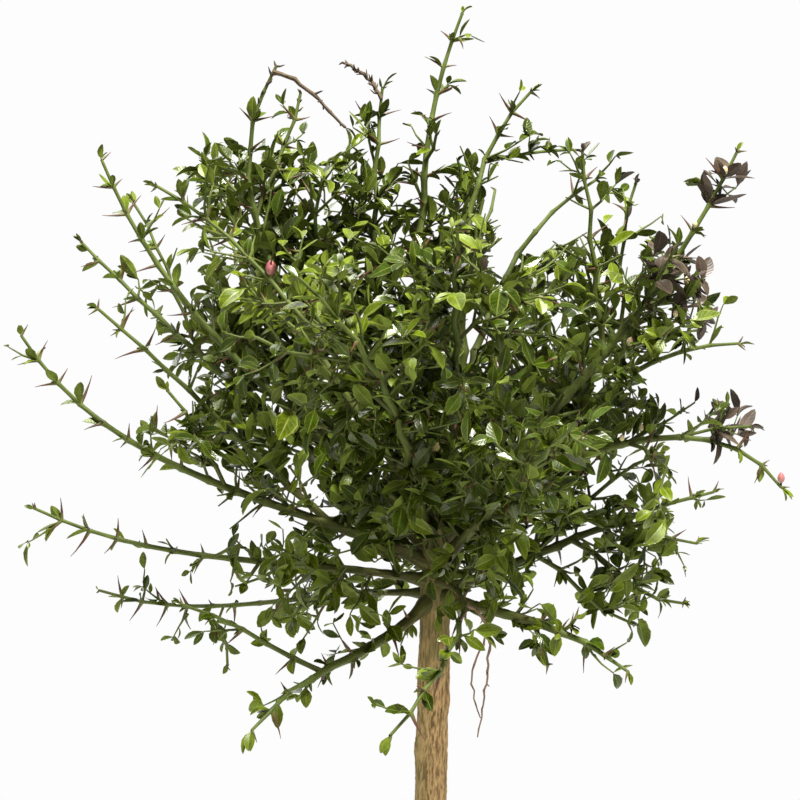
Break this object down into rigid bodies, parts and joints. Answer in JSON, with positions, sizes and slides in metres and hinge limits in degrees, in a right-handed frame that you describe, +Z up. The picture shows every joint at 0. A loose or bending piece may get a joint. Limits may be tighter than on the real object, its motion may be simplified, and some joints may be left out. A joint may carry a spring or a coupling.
{
  "type": "finger lime tree",
  "caption": "Small thorny citrus tree on a clear upright stem, with a round, open crown of slender arching shoots and little leaves; rooted in the ground by its flat-cut trunk.",
  "frame": {"origin": "centre of the flat cut under the trunk, at ground level", "axes": "+Z up along the trunk, +X to the crown's right and +Y away from the viewer when seen from the front"},
  "size_m": [0.5789, 0.5347, 0.8951],
  "materials": {
    "bark": "matt tan-brown bark with fine upright fissures",
    "limb": "matt brown-green young wood",
    "foliage": "glossy dark green leaves on matt green shoots"
  },
  "bodies": {
    "root": {"back_bough": "limb", "back_foliage": "foliage", "back_left_bough": "limb", "back_left_foliage": "foliage", "back_left_low_bough": "limb", "back_left_low_foliage": "foliage", "back_left_up_bough": "limb", "back_left_up_foliage": "foliage", "back_right_bough": "limb", "back_right_foliage": "foliage", "back_right_up_bough": "limb", "back_right_up_foliage": "foliage", "back_up_bough": "limb", "back_up_foliage": "foliage", "front_drop_bough": "limb", "front_drop_foliage": "foliage", "front_left_bough": "limb", "front_left_foliage": "foliage", "front_right_bough": "limb", "front_right_foliage": "foliage", "front_up_bough": "limb", "front_up_foliage": "foliage", "left_bough": "limb", "left_drop_bough": "limb", "left_drop_foliage": "foliage", "left_foliage": "foliage", "left_high_bough": "limb", "left_high_foliage": "foliage", "left_low_bough": "limb", "left_low_foliage": "foliage", "right_bough": "limb", "right_foliage": "foliage", "right_low_back_bough": "limb", "right_low_back_foliage": "foliage", "right_low_bough": "limb", "right_low_foliage": "foliage", "right_mid_bough": "limb", "right_mid_foliage": "foliage", "right_upper_bough": "limb", "right_upper_foliage": "foliage", "top_back_bough": "limb", "top_back_foliage": "foliage", "top_bough": "limb", "top_foliage": "foliage", "top_left_bough": "limb", "top_left_foliage": "foliage", "top_right_bough": "limb", "top_right_foliage": "foliage", "trunk": "bark"}
  },
  "joints": []
}
